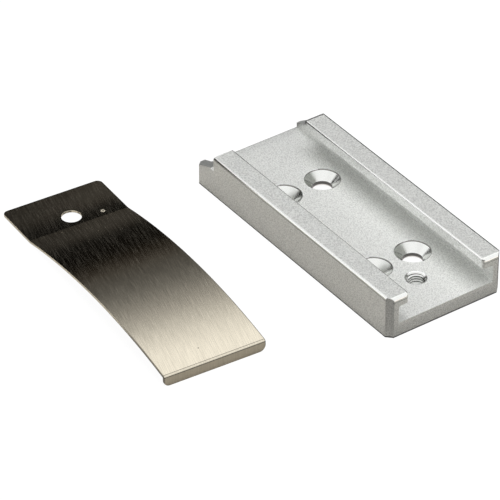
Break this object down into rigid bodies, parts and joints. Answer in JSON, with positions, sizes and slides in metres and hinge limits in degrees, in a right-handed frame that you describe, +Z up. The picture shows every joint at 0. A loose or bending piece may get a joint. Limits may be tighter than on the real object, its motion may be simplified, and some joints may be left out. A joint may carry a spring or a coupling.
{
  "type": "camera top bracket",
  "caption": "Flat C-shaped shoe channel with countersunk fixing holes and a threaded hole, and its arched leaf spring with a turned-down end, laid beside it.",
  "frame": {"origin": "centre of the four countersunk holes, on the underside of the channel", "axes": "+X along the channel from the end with the sloping ears to the end with the threaded hole, +Z up out of the channel's open side, the leaf spring lies on the -Y side"},
  "size_m": [0.0635, 0.0578, 0.0077],
  "materials": {
    "channel_metal": "fine bead-blasted, clear anodised",
    "spring_metal": "bright, finely brushed along the strip"
  },
  "bodies": {
    "root": {"channel": "channel_metal", "leaf_spring": "spring_metal"}
  },
  "joints": []
}
